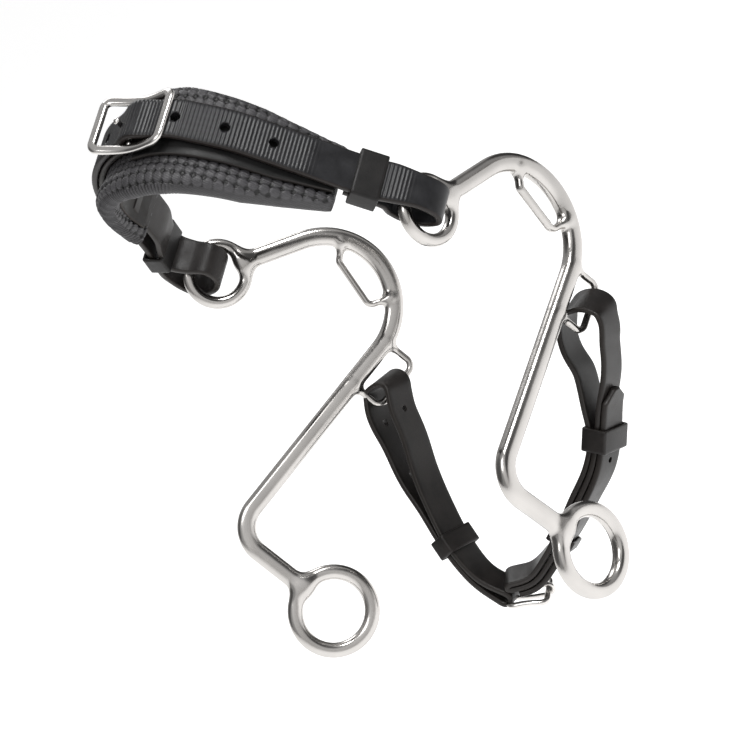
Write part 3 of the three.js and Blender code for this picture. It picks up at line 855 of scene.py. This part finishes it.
def curb_buckle():
    x, y, z = BUCKLE_X, BUCKLE_Y, BUCKLE_Z
    centre = HINGE + BUCKLE_MIDDLE
    ring = oblong(2 * BUCKLE_REACH, CURB_BUCKLE_WIDTH, 3.4)
    bow = 0.9 * (ring[:, :1] / BUCKLE_REACH) ** 2
    line = centre + ring[:, :1] * x + ring[:, 1:] * y + bow * z
    frame_ring = swept("curb_buckle_frame_ring", line, (1.5, 1.25), z, closed=True)
    fit(frame_ring, "curb_strap", "curb_buckle_frame", slot="buckle_steel")

    hook = [centre + (BUCKLE_REACH + 2.3 * math.cos(a)) * x + 2.3 * math.sin(a) * z
            for a in np.linspace(math.radians(-150), math.radians(80), 16)]
    shaft = [centre + (BUCKLE_REACH - 17.2 * k) * x + (2.55 + 0.5 * math.sin(math.pi * k)) * z
             for k in np.linspace(0, 1, 40)[2:]]
    pin = swept("curb_buckle_pin", resample(np.array(hook + shaft), 0.6), (1.0, 0.9), y, sides=12)
    fit(pin, "curb_tongue", "curb_buckle_tongue", slot="buckle_steel")


# ---------------------------------------------------------------- curb strap
CURB_HALF, CURB_THICK = 8.0, 2.6
CURB_HOLE_RADIUS, CURB_HOLE_DEPTH = 1.35, 5
# Each half runs from the buckle up to the shank's loop. spread is how far each of its two runs lies
# from the route, faces say which way the strap's width runs, and rise is the height of the fold over
# the loop. The holes are (spot, run): a spot is a place on a half, counted in points of its route,
# and run 1 is the one on the side that route_frames calls out, which is +X on both halves.
RIGHT = {
    "route": [BUCKLE_MIDDLE - BUCKLE_REACH * BUCKLE_X, (-1.5, -15.6, -165), (-9, -12, -148.2),
              (-15.8, -5, -132), (-21.4, 1.4, -118), (-24.6, 8, -103.3), (-27.2, 12.4, -90.3),
              (-27.5, 16.9, -82.6)],
    "spread": [2.7, 1.5, 1.5, 2.6, 4.8, 6.4, 7.3, 6.8],
    "faces": [(-0.43, 0.9, 0.04), (-0.2, 0.96, -0.1), (0, 0.98, -0.18), (0, 0.97, -0.21), (0, 0.97, -0.23),
              (0, 0.97, -0.25), (0, 0.96, -0.27), (0, 0.96, -0.28)],
    "rise": 6.0,
    "holes": [(5.9, 1), (5.75, -1), (4.05, -1)],
}
LEFT = {
    "route": [BUCKLE_MIDDLE - (BUCKLE_REACH - 1) * BUCKLE_X - 6.6 * BUCKLE_Z, (19.5, -8.8, -172.4),
              (27.5, -2, -168.5), (36, 6, -161.8), (45, 14.4, -153),
              (54.8, 23.4, -143), (60.4, 29.4, -132.5), (65.2, 33.3, -118.4), (70.5, 37.1, -104),
              (71.7, 40.1, -91.8), (73, 43, -85.4), (73.8, 44.4, -82)],
    "spread": [1.5, 1.5, 1.5, 1.5, 1.5, 1.5, 1.6, 3.8, 7.0, 10.0, 10.4, 9.4],
    "faces": [(-0.43, 0.9, 0.04), (-0.4, 0.92, 0), (-0.35, 0.92, -0.1), (-0.25, 0.93, -0.22),
              (-0.18, 0.93, -0.3), (-0.13, 0.92, -0.36), (-0.11, 0.91, -0.39), (-0.13, 0.92, -0.37),
              (-0.14, 0.92, -0.36), (-0.15, 0.93, -0.34), (-0.15, 0.93, -0.33), (-0.15, 0.93, -0.32)],
    "rise": 6.4,
    "holes": [],
}
FOLD_LEAN = 0.45                     # how far the fold over the loop leans up to its far edge
TAIL_SPOTS = (0.36, 7.5)
TAIL_OUT = 2.9                       # from the near half's outer run to the tail, middle to middle
TAIL_HOLE = 5.3
# Each keeper's half and spot, how far it reaches each side of the route, its length, node and body.
CURB_KEEPERS = [
    ("off_curb_keeper", RIGHT, 2, -3.1, 3.1, 9, "right_curb_keeper", "right_curb_keeper_body"),
    ("near_curb_keeper", LEFT, 6.0, -3.1, 6.1, 10.5, "left_curb_keeper", "left_curb_keeper_body"),
    ("buckle_curb_keeper", LEFT, 2.7, -3.1, 6.1, 5, "curb_buckle_keeper", "curb_buckle_keeper_body"),
]


def route_frames(half, spots):
    """Places, directions along, across and out of the strap, and spreads, at spots up a half."""
    route = np.asarray(half["route"], float)
    fine = spline(route, 0.5)
    at_point = [np.argmin(np.linalg.norm(fine - p, axis=1)) for p in route]
    index = np.interp(spots, np.arange(len(route)), at_point)

    def pick(rows, where):
        return np.stack([np.interp(where, np.arange(len(rows)), rows[:, k]) for k in range(3)], 1)

    at = pick(fine, index)
    along = unit(pick(directions(fine, False), index))
    across = pick(unit(half["faces"]), spots)
    across = unit(across - (across * along).sum(1)[:, None] * along)
    return at + HINGE, along, across, np.cross(across, along), eased(spots, half["spread"])


def eased(x, values):
    """Values between those at 0, 1, 2 and on, joined by smooth curves."""
    values = np.asarray(values, float)
    slope_at = np.gradient(values)
    i = np.clip(np.floor(x).astype(int), 0, len(values) - 2)
    t = np.asarray(x, float) - i
    a, b, m, n = values[i], values[i + 1], slope_at[i], slope_at[i + 1]
    leaving = a * (1 + 2 * t) * (1 - t) ** 2 + m * t * (1 - t) ** 2
    return leaving + b * t * t * (3 - 2 * t) + n * t * t * (t - 1)


def doubled(name, node_name, half):
    """One half: a closed band that runs up, over the loop's bar, back down, and round at its foot."""
    last = len(half["route"]) - 1
    at, along, across, out, gap = route_frames(half, np.linspace(0, last, 200))
    back = at - out * gap[:, None]
    front = (at + out * gap[:, None])[::-1]
    turns = np.radians(np.linspace(0, 180, 24))[1:-1, None]
    r = gap[-1]
    top = at[-1] - out[-1] * r * np.cos(turns) + along[-1] * half["rise"] * np.sin(turns)
    foot = at[0] + out[0] * gap[0] * np.cos(turns) - along[0] * gap[0] * np.sin(turns)
    lean = unit(across[-1] + FOLD_LEAN * along[-1])
    path = np.vstack([back, top, front, foot])
    width = np.vstack([across, np.repeat(lean[None], len(top), 0), across[::-1],
                       np.repeat(across[:1], len(foot), 0)])
    steps = np.linalg.norm(np.diff(np.vstack([path, path[:1]]), axis=0), axis=1)
    s = np.concatenate([[0], np.cumsum(steps)])
    even = np.linspace(0, s[-1], int(s[-1] / 0.9), endpoint=False)
    path, width = (np.stack([np.interp(even, s, np.append(v[:, k], v[0, k])) for k in range(3)], 1)
                   for v in (path, width))
    for _ in range(8):
        width = (np.roll(width, 1, 0) + 2 * width + np.roll(width, -1, 0)) / 4
        path = (np.roll(path, 1, 0) + 6 * path + np.roll(path, -1, 0)) / 8
    obj = ribbon(name, path, width, CURB_HALF, CURB_THICK, CURB_LEATHER, 10, creases, closed=True)
    cuts = []
    for spot, run in half["holes"]:
        at, _, _, out, gap = route_frames(half, np.array([spot]))
        cuts.append((at[0] + run * out[0] * gap[0], out[0]))
    punch(obj, cuts, CURB_HOLE_RADIUS, CURB_HOLE_DEPTH)
    fit(obj, "curb_strap", node_name, slot="curb_leather")


def curb_tail():
    """The pointed end, which lies along the outer run of the near half."""
    at, _, across, out, gap = route_frames(LEFT, np.linspace(*TAIL_SPOTS, 200))
    path = at + out * (gap + TAIL_OUT)[:, None]
    left = np.linspace(np.linalg.norm(np.diff(path, axis=0), axis=1).sum(), 0, len(path))
    half = np.minimum(CURB_HALF, 2.2 + left * 1.2)      # narrows to the point
    tail = ribbon("curb_strap_tail_end", path, across, half, CURB_THICK, CURB_LEATHER, 10, creases)
    at, _, _, out, gap = route_frames(LEFT, np.array([TAIL_HOLE]))
    hole = (at[0] + out[0] * (gap[0] + TAIL_OUT), out[0])
    punch(tail, [hole], CURB_HOLE_RADIUS, CURB_HOLE_DEPTH)
    fit(tail, "curb_strap", "curb_strap_tail", slot="curb_leather")


def curb_keepers():
    for name, half, spot, low, high, length, node_name, body in CURB_KEEPERS:
        at, along, across, out, _ = route_frames(half, np.array([spot]))
        room = (CURB_HALF + 0.6, (high - low) / 2 + 0.25)
        obj = keeper(name, at[0] + out[0] * (low + high) / 2, along[0], across[0], out[0], room, length,
                     CURB_LEATHER)
        fit(obj, body, node_name, slot="curb_leather")


# ---------------------------------------------------------------- stage
# Cards round the object, which put the dark and bright bands into the steel: where each stands, from
# which cosine it starts and is full, and what it multiplies the studio's light by.
CARDS = [((-0.71, -0.51, 0.49), 0.8, 0.95, 0.3), ((0.69, -0.67, 0.29), 0.75, 0.97, 2.0),
         ((0.1, 0.95, 0.3), 0.86, 0.97, 0.12), ((0.95, 0.1, 0.35), 0.9, 0.98, 0.25)]
# Each lamp's place from the object's middle and its size, in metres, and its power.
LAMPS = [("key", (0.35, -0.9, 1.1), 0.7, 6), ("top", (0.55, 0.04, 1.07), 0.4, 8),
         ("rim", (-0.7, 0.7, 0.9), 0.6, 4)]
FLOOR_SIZE, FLOOR_DROP = 30, 0.12
FLOOR_GLOW, WORLD_STRENGTH = 0.6, 0.45


def pale_floor():
    low = min(corner[2] for corner in cad_box)
    bpy.ops.mesh.primitive_plane_add(size=FLOOR_SIZE, location=(0, 0, low - FLOOR_DROP))
    floor = bpy.context.object
    floor.name = "floor"
    m, _, _ = material("floor_paper", (0.95, 0.95, 0.95), 0.95, Emission_Color=(1, 1, 1, 1),
                       Emission_Strength=FLOOR_GLOW)
    floor.data.materials.append(m)


def studio():
    """A pale sky, brighter upwards, with the cards standing in it."""
    world = bpy.data.worlds.new("studio")
    bpy.context.scene.world = world
    world.use_nodes = True
    tree = world.node_tree
    tree.nodes.clear()
    direction = node(tree, "ShaderNodeTexCoord", {}).outputs["Generated"]
    height = node(tree, "ShaderNodeSeparateXYZ", {"Vector": direction}).outputs["Z"]
    share = node(tree, "ShaderNodeMapRange", {"Value": height, "From Min": -1}).outputs["Result"]
    colour = ramp(tree, share, [(0.45, (0.62, 0.6, 0.58)), (0.6, (0.85, 0.85, 0.85)), (0.8, (1, 1, 1))])
    for towards, near, full, shade in CARDS:
        turn = node(tree, "ShaderNodeVectorMath", {0: direction, 1: unit(towards).tolist()},
                    operation="DOT_PRODUCT").outputs["Value"]
        card = node(tree, "ShaderNodeMapRange", {"Value": turn, "From Min": near, "From Max": full,
                    "To Min": 1, "To Max": shade}, interpolation_type="SMOOTHSTEP").outputs["Result"]
        colour = multiply(tree, colour, card)
    soft = node(tree, "ShaderNodeBackground", {"Color": colour, "Strength": WORLD_STRENGTH})
    tree.links.new(soft.outputs[0], node(tree, "ShaderNodeOutputWorld", {}).inputs["Surface"])


def lamps():
    middle = np.mean(cad_box, axis=0)
    for name, offset, size, power in LAMPS:
        lamp = bpy.data.objects.new(name, bpy.data.lights.new(name, "AREA"))
        lamp.data.size = size
        lamp.data.energy = power
        bpy.context.scene.collection.objects.link(lamp)
        at = middle + np.array(offset)
        z = unit(np.array(offset))
        x = unit(np.cross([0, 0, 1], z))
        set_matrix(lamp, x, np.cross(z, x), z, at)


def camera():
    cam = bpy.data.objects.new("camera", bpy.data.cameras.new("camera"))
    cam.data.lens = LENS
    cam.data.clip_start = 0.01
    bpy.context.scene.collection.objects.link(cam)
    bpy.context.scene.camera = cam
    x = unit(CAMERA_RIGHT)
    y = unit(CAMERA_UP - (CAMERA_UP @ x) * x)
    set_matrix(cam, x, y, np.cross(x, y), CAMERA_AT * MM)


bpy.context.scene.view_settings.view_transform = "Standard"
camera()
pale_floor()
studio()
lamps()
shanks()
nose_straps()
pad_cover()
pad_lining()
nose_keepers()
nose_buckle()
curb_buckle()
doubled("right_curb_half", "right_curb_strap", RIGHT)
doubled("left_curb_half", "left_curb_strap", LEFT)
curb_tail()
curb_keepers()
